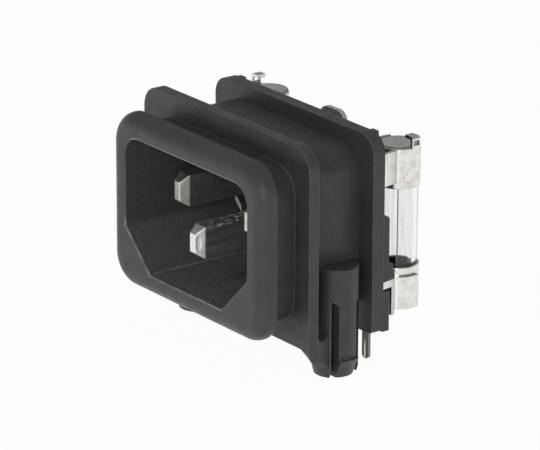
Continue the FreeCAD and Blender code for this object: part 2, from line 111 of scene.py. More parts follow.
class Graph:
    """Adds and links the shader nodes of one material or world.

    edge_turn is the cosine of the angle between a face and its rounded normal where an edge starts
    and where it is full. crease_share is the open share of the view at which a crease does so.
    """

    samples = 8
    edge_turn: Span = (0.995, 0.8)
    crease_share: Span = (0.9, 0.25)

    def __init__(self, owner: bpy.types.ID) -> None:
        """Clears the owner's node tree.

        Args:
            owner: the material or world that the nodes belong to.
        """
        owner.use_nodes = True
        self.tree = owner.node_tree
        self.tree.nodes.clear()

    def add(self, kind: str, inputs: dict | None = None, **settings: object) -> bpy.types.Node:
        """Adds one node.

        Args:
            kind: the node's type name.
            inputs: socket name or index to a value or to another node's output.
            settings: properties of the node itself.

        Returns:
            The new node.
        """
        node = self.tree.nodes.new(kind)
        for key, value in settings.items():
            setattr(node, key, value)
        for key, value in (inputs or {}).items():
            if isinstance(value, Socket):
                self.tree.links.new(value, node.inputs[key])
            else:
                node.inputs[key].default_value = value
        return node

    def noise(self, size_mm: float, detail: float, grain: Grain = Grain.NONE,
              roughness: float = 0.5) -> Socket:
        """Noise with a feature size in millimetres, fixed to the object.

        Args:
            size_mm: size of one feature.
            detail: octaves of the noise.
            grain: factors that draw the noise out along an axis.
            roughness: weight of the finer octaves.

        Returns:
            The noise's factor, 0 to 1.
        """
        place = self.add("ShaderNodeTexCoord").outputs["Object"]
        scaled = self.add("ShaderNodeMapping", {"Vector": place, "Scale": grain.value})
        noise = self.add("ShaderNodeTexNoise", {
            "Vector": scaled.outputs["Vector"], "Scale": 1.0 / (size_mm * MM), "Detail": detail,
            "Roughness": roughness})
        return noise.outputs["Factor" if "Factor" in noise.outputs else "Fac"]

    def patches(self, kind: Patches) -> Socket:
        """Factor that goes from a kind of patches' least to its most."""
        noise = self.noise(kind.size_mm, kind.detail, kind.grain, kind.roughness)
        return self.remap(noise, kind.low, kind.high, kind.least, kind.most)

    def remap(self, value: Socket, low: float, high: float, to_low: float, to_high: float) -> Socket:
        """Maps a range of a value onto another range, clamped.

        Args:
            value: the value to map.
            low: start of the range read.
            high: end of the range read.
            to_low: result at the start.
            to_high: result at the end.

        Returns:
            The mapped value.
        """
        node = self.add("ShaderNodeMapRange", {
            "Value": value, "From Min": low, "From Max": high, "To Min": to_low, "To Max": to_high})
        return node.outputs["Result"]

    def rise(self, value: Socket, start: float, end: float) -> Socket:
        """0 where a value is before start and 1 where it is past end."""
        return self.remap(value, start, end, 0.0, 1.0)

    def fall(self, value: Socket, start: float, end: float) -> Socket:
        """1 where a value is before start and 0 where it is past end."""
        return self.remap(value, start, end, 1.0, 0.0)

    def band(self, value: Socket, rising: Span, falling: Span) -> Socket:
        """1 where a value is between two soft ends and 0 outside them."""
        return self.product(self.rise(value, *rising), self.fall(value, *falling))

    def mix(self, factor: Socket, first: object, second: object) -> Socket:
        """Mixes two colours.

        Args:
            factor: weight of the second colour.
            first: colour or socket.
            second: colour or socket.

        Returns:
            The mixed colour.
        """
        node = self.add("ShaderNodeMix", {0: factor}, data_type="RGBA")
        for index, value in ((6, first), (7, second)):
            if isinstance(value, Socket):
                self.tree.links.new(value, node.inputs[index])
            else:
                node.inputs[index].default_value = (*value, 1.0)
        return node.outputs[2]

    def math(self, operation: str, first: object, second: object = 0.0) -> Socket:
        """One arithmetic step.

        Args:
            operation: name of the operation.
            first: first value or socket.
            second: second value or socket, which a step on one value ignores.

        Returns:
            The result.
        """
        return self.add("ShaderNodeMath", {0: first, 1: second}, operation=operation).outputs[0]

    def product(self, *factors: object) -> Socket:
        """Product of two or more values or sockets.

        Args:
            factors: the values or sockets.

        Returns:
            Their product.
        """
        total = factors[0]
        for factor in factors[1:]:
            total = self.math("MULTIPLY", total, factor)
        return total

    def length(self, *sides: Socket) -> Socket:
        """Length of a vector from its sides.

        Args:
            sides: the vector's coordinates.

        Returns:
            The length.
        """
        total = 0.0
        for side in sides:
            total = self.math("ADD", self.product(side, side), total)
        return self.math("SQRT", total)

    def edges(self, radius_mm: float) -> Socket:
        """Mask that is 1 on sharp edges and 0 on flat faces.

        Args:
            radius_mm: reach of an edge.

        Returns:
            The mask.
        """
        bevel = self.add("ShaderNodeBevel", {"Radius": radius_mm * MM}, samples=self.samples)
        face = self.add("ShaderNodeNewGeometry").outputs["Normal"]
        turn = self.add("ShaderNodeVectorMath", {0: bevel.outputs["Normal"], 1: face},
                        operation="DOT_PRODUCT").outputs["Value"]
        return self.rise(turn, *self.edge_turn)

    def soft_edges(self, radius_mm: Socket | float) -> Socket:
        """Normal that rounds sharp edges.

        Args:
            radius_mm: radius of the rounding.

        Returns:
            The rounded normal.
        """
        linked = isinstance(radius_mm, Socket)
        radius = self.product(radius_mm, MM) if linked else radius_mm * MM
        return self.add("ShaderNodeBevel", {"Radius": radius}, samples=self.samples).outputs["Normal"]

    def creases(self, reach_mm: float) -> Socket:
        """Mask that is 1 in creases and near other pieces and 0 on open faces.

        Args:
            reach_mm: distance over which another surface counts.

        Returns:
            The mask.
        """
        near = self.add("ShaderNodeAmbientOcclusion", {"Distance": reach_mm * MM}, samples=self.samples)
        return self.rise(near.outputs["AO"], *self.crease_share)

    def bump(self, height: Socket, depth_mm: float, under: Socket | None = None) -> Socket:
        """Bump from a height map.

        Args:
            height: height, 0 to 1.
            depth_mm: real depth of the full height.
            under: normal that the bump lies on.

        Returns:
            The bumped normal.
        """
        inputs = {"Height": height, "Distance": depth_mm * MM, "Strength": 1.0}
        if under is not None:
            inputs["Normal"] = under
        return self.add("ShaderNodeBump", inputs).outputs["Normal"]

    def place(self, axis: int) -> Socket:
        """Coordinate of the shaded point in the shared frame.

        Args:
            axis: ACROSS, DEPTH or HEIGHT.

        Returns:
            The coordinate in millimetres.
        """
        point = self.add("ShaderNodeTexCoord").outputs["Object"]
        parts = self.add("ShaderNodeSeparateXYZ", {0: point})
        return self.product(parts.outputs[axis], 1.0 / MM)

    def from_middle(self) -> Socket:
        """Distance of the shaded point from the object's middle plane in millimetres."""
        return self.math("ABSOLUTE", self.place(ACROSS))

    def facing(self, axis: int) -> Socket:
        """How far the real face turns toward an axis, -1 to 1."""
        normal = self.add("ShaderNodeNewGeometry").outputs["True Normal"]
        return self.add("ShaderNodeSeparateXYZ", {0: normal}).outputs[axis]

    def surface(self, shader: bpy.types.Node, kind: str = "ShaderNodeOutputMaterial") -> None:
        """Connects a shader to the output."""
        out = self.add(kind)
        self.tree.links.new(shader.outputs[0], out.inputs["Surface"])


@dataclass(frozen=True)
class Opening:
    """Inlet opening of the socket: rounded above, sloped at the two lower corners.

    Along a slope the place across less the height is slope. The fades are how far a mask takes to
    end at the walls and at the mouth.
    """

    half_width: float = 12.2
    half_height: float = 8.2
    corner: float = 2.6
    slope: float = 15.4
    depth: float = 16.4
    wall_fade: Span = (-0.05, 0.1)
    mouth_fade: Span = (0.35, 0.6)

    def inside(self, g: Graph) -> Socket:
        """Mask of the walls inside the opening.

        Args:
            g: the material's graph.

        Returns:
            1 inside the opening and 0 elsewhere.
        """
        near, far = self.wall_fade
        across = g.fall(g.from_middle(), self.half_width + near, self.half_width + far)
        height = g.math("ABSOLUTE", g.place(HEIGHT))
        upright = g.fall(height, self.half_height + near, self.half_height + far)
        return g.product(across, upright, g.rise(g.place(DEPTH), *self.mouth_fade))

    def outside(self, g: Graph) -> Socket:
        """Distance of the shaded point outside the opening's outline.

        Args:
            g: the material's graph.

        Returns:
            The distance in millimetres, below 0 inside the outline.
        """
        across = g.from_middle()
        height = g.place(HEIGHT)
        slope = g.math("SUBTRACT", g.math("SUBTRACT", across, height), self.slope)
        under = g.math("SUBTRACT", g.product(height, -1.0), self.half_height)
        beside = g.math("MAXIMUM", g.math("SUBTRACT", across, self.half_width - self.corner), 0.0)
        above = g.math("MAXIMUM", g.math("SUBTRACT", height, self.half_height - self.corner), 0.0)
        rounded = g.math("SUBTRACT", g.length(beside, above), self.corner)
        return g.math("MAXIMUM", g.math("MAXIMUM", rounded, under), g.product(slope, DIAGONAL))

    def above_slope(self, g: Graph) -> Socket:
        """Height of the shaded point above the sloped lower corners in millimetres."""
        return g.math("ADD", g.math("SUBTRACT", g.place(HEIGHT), g.from_middle()), self.slope)


@dataclass(frozen=True)
class SocketWalls:
    """Eroded walls inside the inlet opening, dust on the low ones and a painted highlight line round the
    mouth.
    """

    opening: Opening = Opening()
    worn: Colour = (0.09, 0.091, 0.087)
    dusty: Colour = (0.27, 0.273, 0.265)
    # tone of the painted highlight line round the mouth
    rim_highlight: Colour = (0.42, 0.42, 0.4)
    roughness: float = 0.62
    rounding_mm: float = 0.02
    pit_mm: float = 0.5
    pit_detail: float = 5.0
    pit_roughness: float = 0.75
    pit_depth_mm: float = 0.05
    pit_range: Span = (0.35, 0.65)
    dust: Patches = Patches(0.55, 5.0, 0.4, 0.62, least=0.4, roughness=0.7)
    dust_level: Span = (0.645, 0.9)
    dust_share: float = 0.9
    rim_inner: Span = (-0.03, 0.02)
    rim_outer: Span = (0.15, 0.21)
    rim_depth: Span = (0.3, 0.34)
    rim_patches: Patches = Patches(1.1, 3.0, 0.35, 0.65, 0.25, 0.6)
    rim_low: Span = (-3.2, -1.5)
    rim_high: Span = (7.9, 8.1)
    rim_side_share: float = 0.25

    def rounding(self, g: Graph, edge_mm: float) -> Socket:
        """Radius of soft edges, which are sharper inside the opening than the edge_mm outside."""
        return g.remap(self.opening.inside(g), 0.0, 1.0, edge_mm, self.rounding_mm)

    def rim(self, g: Graph) -> Socket:
        """Mask of the painted highlight line round the rim of the opening.

        Args:
            g: the material's graph.

        Returns:
            1 on the upper line, less on the lower and side ones and 0 elsewhere.
        """
        height = g.place(HEIGHT)
        line = g.band(self.opening.outside(g), self.rim_inner, self.rim_outer)
        front = g.fall(g.place(DEPTH), *self.rim_depth)
        lower = g.product(g.patches(self.rim_patches),
                          g.remap(height, *self.rim_low, 1.0, self.rim_side_share))
        share = g.math("MAXIMUM", lower, g.rise(height, *self.rim_high))
        return g.product(line, front, share)

    def erode(self, g: Graph, pale: Colour, base: Socket, rough: Socket,
              normal: Socket) -> tuple[Socket, Socket, Socket]:
        """Turns a plain moulded surface into the eroded one inside the opening.

        Args:
            g: the material's graph.
            pale: paler tone of the plastic.
            base: colour of the plain surface.
            rough: its roughness.
            normal: its normal.

        Returns:
            Colour, roughness and normal with the eroded walls.
        """
        mask = self.opening.inside(g)
        pits = g.noise(self.pit_mm, self.pit_detail, roughness=self.pit_roughness)
        base = g.mix(mask, base, g.mix(g.rise(pits, *self.pit_range), pale, self.worn))
        level = g.remap(g.facing(HEIGHT), *self.dust_level, 0.0, self.dust_share)
        base = g.mix(g.product(mask, level, g.patches(self.dust)), base, self.dusty)
        # painted highlight line round the mouth of the opening
        base = g.mix(self.rim(g), base, self.rim_highlight)
        matt = g.add("ShaderNodeMix", {0: mask, 2: rough, 3: self.roughness}, data_type="FLOAT")
        return base, matt.outputs[0], g.bump(g.product(pits, mask), self.pit_depth_mm, normal)


@dataclass(frozen=True)
class PaintedLightStrip:
    """Band of painted light on the rear wall of the socket, above each sloped corner.

    low and high are heights above the slope, inner and outer are distances from the middle plane.
    """

    opening: Opening = Opening()
    # near-white tone of the painted light
    tone: Colour = (0.98, 0.98, 0.95)
    low: Span = (0.02, 0.1)
    high: Span = (0.85, 0.95)
    inner: Span = (10.7, 10.8)
    outer: Span = (12.0, 12.1)
    behind_wall: Span = (0.1, 0.2)

    def apply(self, g: Graph, base: Socket) -> Socket:
        """Adds the painted light.

        Args:
            g: the material's graph.
            base: colour of the plastic.

        Returns:
            The colour with the painted light.
        """
        light_strip = g.band(self.opening.above_slope(g), self.low, self.high)
        ends = g.band(g.from_middle(), self.inner, self.outer)
        front, back = (self.opening.depth + behind for behind in self.behind_wall)
        # painted light on the rear wall above each sloped corner
        return g.mix(g.product(light_strip, ends, g.fall(g.place(DEPTH), front, back)), base, self.tone)


@dataclass(frozen=True)
class MouldedPlastic:
    """Black moulded plastic: fine grain, flow marks, specks, paler edges that are partly worn and partly
    a painted highlight.
    """

    name: str
    dark: Colour = (0.038, 0.039, 0.039)
    pale: Colour = (0.06, 0.061, 0.06)
    # tone of the paler edges, partly wear and partly painted highlight
    rubbed_and_highlight: Colour = (0.2, 0.201, 0.198)
    speck: Colour = (0.13, 0.13, 0.125)
    specular: float = 0.37
    ior: float = 1.5
    edge_mm: float = 0.18
    flow: Patches = Patches(4.0, 5.0, 0.32, 0.68, roughness=0.62)
    fine: Patches = Patches(0.3, 4.0, 0.35, 0.7, most=0.7, roughness=0.75)
    wear: Patches = Patches(0.9, 4.0, 0.35, 0.65, least=0.2)
    specks: Patches = Patches(0.3, 2.0, 0.735, 0.76, most=0.6)
    gloss: Patches = Patches(1.4, 5.0, 0.3, 0.7, 0.36, 0.52)
    wave_mm: float = 2.6
    wave_detail: float = 3.0
    wave_depth_mm: float = 0.03
    grain_mm: float = 0.11
    grain_detail: float = 2.0
    grain_depth_mm: float = 0.008
    walls: SocketWalls | None = None
    light_strip: PaintedLightStrip | None = None

    def build(self) -> bpy.types.Material:
        """Makes the material.

        Returns:
            The finished material.
        """
        material = bpy.data.materials.new(self.name)
        g = Graph(material)
        base = g.mix(g.patches(self.flow), self.dark, self.pale)
        base = g.mix(g.patches(self.fine), base, self.pale)
        # paler edges: partly real wear, partly a painted highlight along every edge
        base = g.mix(g.product(g.edges(self.edge_mm), g.patches(self.wear)), base, self.rubbed_and_highlight)
        base = g.mix(g.patches(self.specks), base, self.speck)
        rough = g.patches(self.gloss)
        rounding = self.walls.rounding(g, self.edge_mm) if self.walls else self.edge_mm
        normal = g.bump(g.noise(self.wave_mm, self.wave_detail), self.wave_depth_mm,
                        g.soft_edges(rounding))
        normal = g.bump(g.noise(self.grain_mm, self.grain_detail), self.grain_depth_mm, normal)
        if self.walls:
            base, rough, normal = self.walls.erode(g, self.pale, base, rough, normal)
        # painted light band on the rear wall, where given
        if self.light_strip:
            base = self.light_strip.apply(g, base)
        shader = g.add("ShaderNodeBsdfPrincipled", {
            "Base Color": base, "Roughness": rough, "Normal": normal,
            "Specular IOR Level": self.specular, "IOR": self.ior})
        g.surface(shader)
        return material


@dataclass(frozen=True)
class Bend:
    """Painted shade in a band beside the bend of a clip, and a painted highlight on the bend itself.

    start and end are depths, and the rise and fall of the highlight are counted from end.
    """

    start: float = 18.2
    end: float = 19.75
    shade: Colour = (0.34, 0.335, 0.3)
    uneven: Patches = Patches(0.9, 3.0, 0.3, 0.7, 0.3, 0.75, Grain.ALONG_SHEET)
    band_fade: Span = (0.15, 0.12)
    crest_highlight: Colour = (0.97, 0.965, 0.94)
    crest_share: float = 0.9
    crest_rise: Span = (0.1, 0.2)
    crest_fall: Span = (0.35, 0.5)

    def apply(self, g: Graph, base: Socket) -> Socket:
        """Adds the painted shade band and the painted highlight.

        Args:
            g: the material's graph.
            base: colour of the metal.

        Returns:
            The colour with both.
        """
        depth = g.place(DEPTH)
        before, after = self.band_fade
        band = g.band(depth, (self.start, self.end - before), (self.end, self.end + after))
        # painted shade in a band beside the bend
        base = g.mix(g.product(band, g.patches(self.uneven)), base, self.shade)
        # painted highlight on the bend
        rising, falling = (tuple(self.end + past for past in span)
                           for span in (self.crest_rise, self.crest_fall))
        return g.mix(g.product(g.band(depth, rising, falling), self.crest_share), base, self.crest_highlight)


@dataclass(frozen=True)
class Mottle:
    """Grey blotches drawn out along a clip."""

    tone: Colour = (0.42, 0.415, 0.39)
    blots: Patches = Patches(0.32, 4.0, 0.48, 0.74, most=0.42, grain=Grain.DRAWN_SPOTS, roughness=0.65)

    def apply(self, g: Graph, base: Socket) -> Socket:
        """Adds the blotches to the metal's colour."""
        return g.mix(g.patches(self.blots), base, self.tone)


@dataclass(frozen=True)
class Ring:
    """Painted dark ring round the flat end of a fuse cap, about the fuse's own axis, standing in for the
    dark reflection at the cap's edge.
    """

    across: float = 12.75
    depth: float = 22.0
    inner: float = 2.26
    outer: float = 2.38
    fade: float = 0.06
    share: float = 0.85
    tone: Colour = (0.1, 0.1, 0.09)

    def apply(self, g: Graph, base: Socket) -> Socket:
        """Adds the painted dark ring.

        Args:
            g: the material's graph.
            base: colour of the metal.

        Returns:
            The colour with the ring.
        """
        radius = g.length(g.math("SUBTRACT", g.from_middle(), self.across),
                          g.math("SUBTRACT", g.place(DEPTH), self.depth))
        line = g.band(radius, (self.inner - self.fade, self.inner), (self.outer, self.outer + self.fade))
        # painted dark ring at the edge of the cap's end
        return g.mix(g.product(line, self.share), base, self.tone)


@dataclass(frozen=True)
class DippedTail:
    """Dull grey tail that is dipped for soldering, with a painted dark outline on its edges, a painted
    highlight down its middle and painted light that keeps faces turned across a little brighter.

    below is the height at which the dip ends, and middle the tail's distance from the middle plane.
    """

    below: float = -12.6
    fade: float = 0.5
    wavy: Patches = Patches(0.8, 3.0, 0.0, 1.0, -0.4, 0.4)
    side_turn: Span = (0.3, 0.8)
    side_share: float = 0.8
    dull: Colour = (0.09, 0.088, 0.078)
    dark: Colour = (0.035, 0.034, 0.03)
    spots: Patches = Patches(0.4, 4.0, 0.35, 0.65)
    middle: float = 12.2
    middle_fade: Span = (0.05, 0.2)
    # tone of the painted highlight down the middle
    light: Colour = (0.6, 0.59, 0.55)
    light_heights: Span = (-14.2, -15.4)
    light_share: float = 0.9
    # tone of the painted dark outline on the edges
    edge: Colour = (0.03, 0.03, 0.026)
    edge_mm: float = 0.22
    edge_share: float = 0.85

    def apply(self, g: Graph, base: Socket) -> Socket:
        """Dulls the tail and paints its highlight, dark outlines and lighter sides.

        Args:
            g: the material's graph.
            base: colour of the metal above.

        Returns:
            The colour with the dipped tail.
        """
        height = g.place(HEIGHT)
        mask = g.rise(g.math("ADD", height, g.patches(self.wavy)), self.below, self.below - self.fade)
        turned = g.math("ABSOLUTE", g.facing(ACROSS))
        # painted light: faces turned across keep a fifth of the metal above
        flat = g.remap(turned, *self.side_turn, 1.0, self.side_share)
        tail = g.mix(g.patches(self.spots), self.dull, self.dark)
        off = g.math("ABSOLUTE", g.math("SUBTRACT", g.from_middle(), self.middle))
        low = g.remap(height, *self.light_heights, 0.0, self.light_share)
        # painted highlight down the middle of the tail, toward its tip
        tail = g.mix(g.product(g.fall(off, *self.middle_fade), low), tail, self.light)
        # painted dark outline on the tail's edges
        tail = g.mix(g.product(g.edges(self.edge_mm), self.edge_share), tail, self.edge)
        return g.mix(g.product(mask, flat), base, tail)


@dataclass(frozen=True)
class Dimple:
    """Shallow oval dent in the tip of the earth pin."""

    centre: Point = (0.62, 1.75, -2.2)
    half: Point = (0.22, 0.6, 0.85)
    flank: Span = (0.55, 1.1)
    depth_mm: float = 0.035

    def apply(self, g: Graph, normal: Socket) -> Socket:
        """Presses the dent into the surface.

        Args:
            g: the material's graph.
            normal: normal of the metal.

        Returns:
            The normal with the dent.
        """
        sides = [g.math("DIVIDE", g.math("SUBTRACT", g.place(axis), self.centre[axis]), self.half[axis])
                 for axis in (ACROSS, DEPTH, HEIGHT)]
        return g.bump(g.rise(g.length(*sides), *self.flank), self.depth_mm, normal)


@dataclass(frozen=True)
class GlintFlecks:
    """Painted glints in pale spots along the top of the earth pin, denser toward its root."""

    top: float = -0.22
    below_top: Span = (-0.35, -0.2)
    start: float = 2.6
    start_fade: float = 0.1
    run: float = 4.0
    first_share: float = 0.15
    spots: Patches = Patches(0.45, 3.0, 0.54, 0.6, grain=Grain.PIN_SPOTS, roughness=0.6)
    # tone of the painted glints
    tone: Colour = (0.95, 0.945, 0.9)

    def mask(self, g: Graph) -> Socket:
        """Mask of the painted glints.

        Args:
            g: the material's graph.

        Returns:
            1 on a fleck and 0 elsewhere.
        """
        depth = g.place(DEPTH)
        high = g.rise(g.place(HEIGHT), *(self.top + below for below in self.below_top))
        share = g.remap(depth, self.start, self.start + self.run, self.first_share, 1.0)
        front = g.rise(depth, self.start - self.start_fade, self.start)
        return g.product(g.patches(self.spots), high, share, front)


@dataclass(frozen=True)
class PlatedMetal:
    """Nickel or tin plating: fine drawn lines, stains, dark specks, soft dents, painted shade in creases
    and painted edge lines.
    """

    name: str
    bright: Colour = (0.8, 0.79, 0.76)
    stained: Colour = (0.6, 0.585, 0.54)
    # colour of the dark specks and of the painted shade in creases
    dirt_and_crease_shade: Colour = (0.12, 0.115, 0.1)
    stains: Patches = Patches(1.3, 5.0, 0.42, 0.7, roughness=0.6)
    speckle: float = 0.25
    edge_mm: float = 0.08
    # tone of the painted edge line
    painted_edge_tone: Colour = (0.8, 0.79, 0.76)
    edge_share: float = 0.4
    crease_mm: float = 0.35
    crease: float = 0.55
    roughness: Span = (0.16, 0.34)
    grain: Grain = Grain.NONE
    line_mm: float = 0.05
    line_detail: float = 3.0
    line_depth_mm: float = 0.0012
    dent_mm: float = 0.9
    dent_detail: float = 2.0
    dent_depth_mm: float = 0.03
    marks: tuple[Bend | Mottle | Ring | DippedTail, ...] = ()
    dimple: Dimple | None = None
    glint_flecks: GlintFlecks | None = None

    def build(self) -> bpy.types.Material:
        """Makes the material.

        Returns:
            The finished material.
        """
        material = bpy.data.materials.new(self.name)
        g = Graph(material)
        speckles = Patches(0.22, 4.0, 0.45, 0.75, most=self.speckle, roughness=0.7)
        gloss = Patches(0.5, 4.0, 0.3, 0.7, *self.roughness, grain=self.grain)
        base = g.mix(g.patches(self.stains), self.bright, self.stained)
        base = g.mix(g.patches(speckles), base, self.dirt_and_crease_shade)
        # painted edge line: a highlight where painted_edge_tone is lighter than the metal, a dark
        # outline where it is darker
        base = g.mix(g.product(g.edges(self.edge_mm), self.edge_share), base, self.painted_edge_tone)
        for mark in self.marks:
            base = mark.apply(g, base)
        # painted shade in creases and next to other pieces
        base = g.mix(g.product(g.creases(self.crease_mm), self.crease), base, self.dirt_and_crease_shade)
        metallic = 1.0
        # painted glints: pale matt spots in place of the metal
        if self.glint_flecks:
            mask = self.glint_flecks.mask(g)
            base = g.mix(mask, base, self.glint_flecks.tone)
            metallic = g.math("SUBTRACT", 1.0, mask)
        normal = g.bump(g.noise(self.dent_mm, self.dent_detail), self.dent_depth_mm,
                        g.soft_edges(self.edge_mm))
        normal = g.bump(g.noise(self.line_mm, self.line_detail, self.grain), self.line_depth_mm, normal)
        if self.dimple:
            normal = self.dimple.apply(g, normal)
        shader = g.add("ShaderNodeBsdfPrincipled", {
            "Base Color": base, "Roughness": g.patches(gloss), "Normal": normal, "Metallic": metallic})
        g.surface(shader)
        return material


@dataclass(frozen=True)
class FuseGlass:
    """Clear drawn glass tube with faint lengthwise streaks, grey streaks of painted reflection in its
    tint and painted shade toward its sides.
    """

    name: str
    tint: Colour = (0.955, 0.962, 0.96)
    # grey of the painted reflections in the tint
    reflection_streak: Colour = (0.8, 0.81, 0.805)
    # tone of the painted shade at the tube's sides
    wall: Colour = (0.22, 0.23, 0.225)
    ior: float = 1.47
    streak_mm: float = 0.4
    streak_detail: float = 4.0
    streak_depth_mm: float = 0.004
    streak_range: Span = (0.4, 0.68)
    wall_range: Span = (0.6, 0.82)
    wall_share: float = 0.95
    haze: Patches = Patches(0.8, 4.0, 0.4, 0.8, most=0.05)

    def build(self) -> bpy.types.Material:
        """Makes the material.

        Returns:
            The finished material.
        """
        material = bpy.data.materials.new(self.name)
        g = Graph(material)
        streaks = g.noise(self.streak_mm, self.streak_detail, Grain.ALONG_SHEET)
        # grey streaks of painted reflection in the tint; the bump keeps the real drawn lines
        tint = g.mix(g.rise(streaks, *self.streak_range), self.tint, self.reflection_streak)
        facing = g.add("ShaderNodeLayerWeight", {"Blend": 0.5}).outputs["Facing"]
        # painted shade where the tube turns away from the view
        tint = g.mix(g.remap(facing, *self.wall_range, 0.0, self.wall_share), tint, self.wall)
        shader = g.add("ShaderNodeBsdfPrincipled", {
            "Base Color": tint, "Roughness": g.patches(self.haze),
            "Normal": g.bump(streaks, self.streak_depth_mm), "IOR": self.ior,
            "Transmission Weight": 1.0})
        g.surface(shader)
        return material


def paint(frame: dict, node: str, material: bpy.types.Material) -> None:
    """Puts a material on every slot of a CAD node.

    Args:
        frame: the loaded frame.
        node: name of the CAD node.
        material: the material.
    """
    shown = frame["nodes"][node]
    if not shown.material_slots:
        shown.data.materials.append(material)
    for slot in shown.material_slots:
        slot.material = material
    LOG.info("%s: %s", node, material.name)


def between(start: tuple, end: tuple, share: float) -> tuple:
    """Point at a share of the way from start to end."""
    return tuple(a + (b - a) * share for a, b in zip(start, end))


@dataclass
class Housing:
    """Moulded housing with bezel, flange, socket tube, snap pegs and the fillets over their webs.

    A fillet runs from the flange back to the peg. Its outer and inner lines are given as the
    places across and in depth of their front and rear ends.
    """

    node: str = "inlet_housing"
    slot: str = "housing_plastic"
    finish: MouldedPlastic = MouldedPlastic("housing_black", walls=SocketWalls())
    fillet_base: float = -11.85
    fillet_low: float = -11.35
    fillet_rise: float = 0.65
    fillet_hollow: float = 2.5
    fillet_inward: float = 0.35
    outer: tuple[Span, Span] = ((16.42, 7.3), (15.3, 10.02))
    inner: tuple[Span, Span] = ((14.7, 7.3), (14.2, 10.02))
    steps: int = 14
    rows: int = 5

    def section(self, along: float) -> list[Point]:
        """Outline of the right fillet at a share of its length.

        Args:
            along: 0 at the flange and 1 at the peg.

        Returns:
            The outline's points from the outer foot over the top to the inner foot.
        """
        outer, inner = between(*self.outer, along), between(*self.inner, along)
        low = self.fillet_low + self.fillet_rise * abs(2.0 * along - 1.0) ** self.fillet_hollow
        points = [(*outer, self.fillet_base)]
        for row in range(self.rows + 1):
            share = row / self.rows
            points.append((*between(outer, inner, share), low + self.fillet_inward * share * share))
        return points + [(*inner, self.fillet_base)]

    def fillet(self, side: float) -> bpy.types.Object:
        """Makes the concave fillet between flange, web and peg.

        Args:
            side: 1 for the right side and -1 for the left side.

        Returns:
            The new piece.
        """
        mesh = bmesh.new()
        grid = []
        for step in range(self.steps + 1):
            points = self.section(step / self.steps)
            grid.append([mesh.verts.new((side * x * MM, y * MM, z * MM)) for x, y, z in points])
        for first, second in zip(grid, grid[1:]):
            for a, b, c, d in zip(first, first[1:], second[1:], second):
                mesh.faces.new((a, b, c, d))
            mesh.faces.new((first[-1], first[0], second[0], second[-1]))
        mesh.faces.new(grid[0])
        mesh.faces.new(grid[-1])
        bmesh.ops.recalc_face_normals(mesh, faces=mesh.faces)
        data = bpy.data.meshes.new("web_fillet")
        mesh.to_mesh(data)
        mesh.free()
        piece = bpy.data.objects.new("web_fillet_" + ("right" if side > 0.0 else "left"), data)
        bpy.context.scene.collection.objects.link(piece)
        return piece

    def dress(self, frame: dict) -> None:
        """Gives the housing its finish and adds the fillets.

        Args:
            frame: the loaded frame.
        """
        material = self.finish.build()
        paint(frame, self.node, material)
        for side in (1.0, -1.0):
            piece = self.fillet(side)
            piece.data.materials.append(material)
            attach(piece, "root")
            LOG.info("%s: %s", piece.name, material.name)


@dataclass
class Carrier:
    """Moulded plate at the back, which also closes the socket."""

    node: str = "rear_carrier"
    finish: MouldedPlastic = MouldedPlastic("carrier_black", dark=(0.04, 0.041, 0.039),
                                            pale=(0.06, 0.061, 0.058), light_strip=PaintedLightStrip())

    def dress(self, frame: dict) -> None:
        """Gives the carrier its finish."""
        paint(frame, self.node, self.finish.build())


@dataclass
class Contacts:
    """Three flat contact pins and the earth terminal."""

    outer_pins: tuple[str, ...] = ("line_pin", "neutral_pin")
    earth_pin: str = "earth_pin"
    terminal: str = "earth_terminal"
    # The outer pins and the earth pin are one nickel in two tones: darker on the outer pins as painted
    # shade, lighter on the earth pin as painted light.
    pin_finish: PlatedMetal = PlatedMetal(
        "pin_nickel", bright=(0.72, 0.71, 0.675), stained=(0.5, 0.49, 0.45), edge_mm=0.22,
        painted_edge_tone=(0.97, 0.96, 0.93), edge_share=0.75, crease=0.0, roughness=(0.34, 0.5),
        grain=Grain.ALONG_PIN, line_depth_mm=0.0006, dent_depth_mm=0.012)
    # lighter copy of the same nickel: painted light
    earth_finish: PlatedMetal = PlatedMetal(
        "pin_nickel_earth", bright=(0.95, 0.94, 0.915), stained=(0.8, 0.79, 0.75), edge_mm=0.22,
        painted_edge_tone=(0.98, 0.97, 0.95), edge_share=0.75, crease=0.0, roughness=(0.34, 0.5),
        grain=Grain.ALONG_PIN, line_depth_mm=0.0008, dent_depth_mm=0.02, dimple=Dimple(),
        glint_flecks=GlintFlecks())
    terminal_finish: PlatedMetal = PlatedMetal(
        "terminal_tin", bright=(0.9, 0.89, 0.86), stained=(0.72, 0.71, 0.67), edge_mm=0.26,
        painted_edge_tone=(0.95, 0.94, 0.9), edge_share=0.6, roughness=(0.26, 0.42),
        grain=Grain.ALONG_SHEET, marks=(DippedTail(),))

    def dress(self, frame: dict) -> None:
        """Gives the pins and the terminal their finishes.

        Args:
            frame: the loaded frame.
        """
        nickel = self.pin_finish.build()
        for name in self.outer_pins:
            paint(frame, name, nickel)
        paint(frame, self.earth_pin, self.earth_finish.build())
        paint(frame, self.terminal, self.terminal_finish.build())


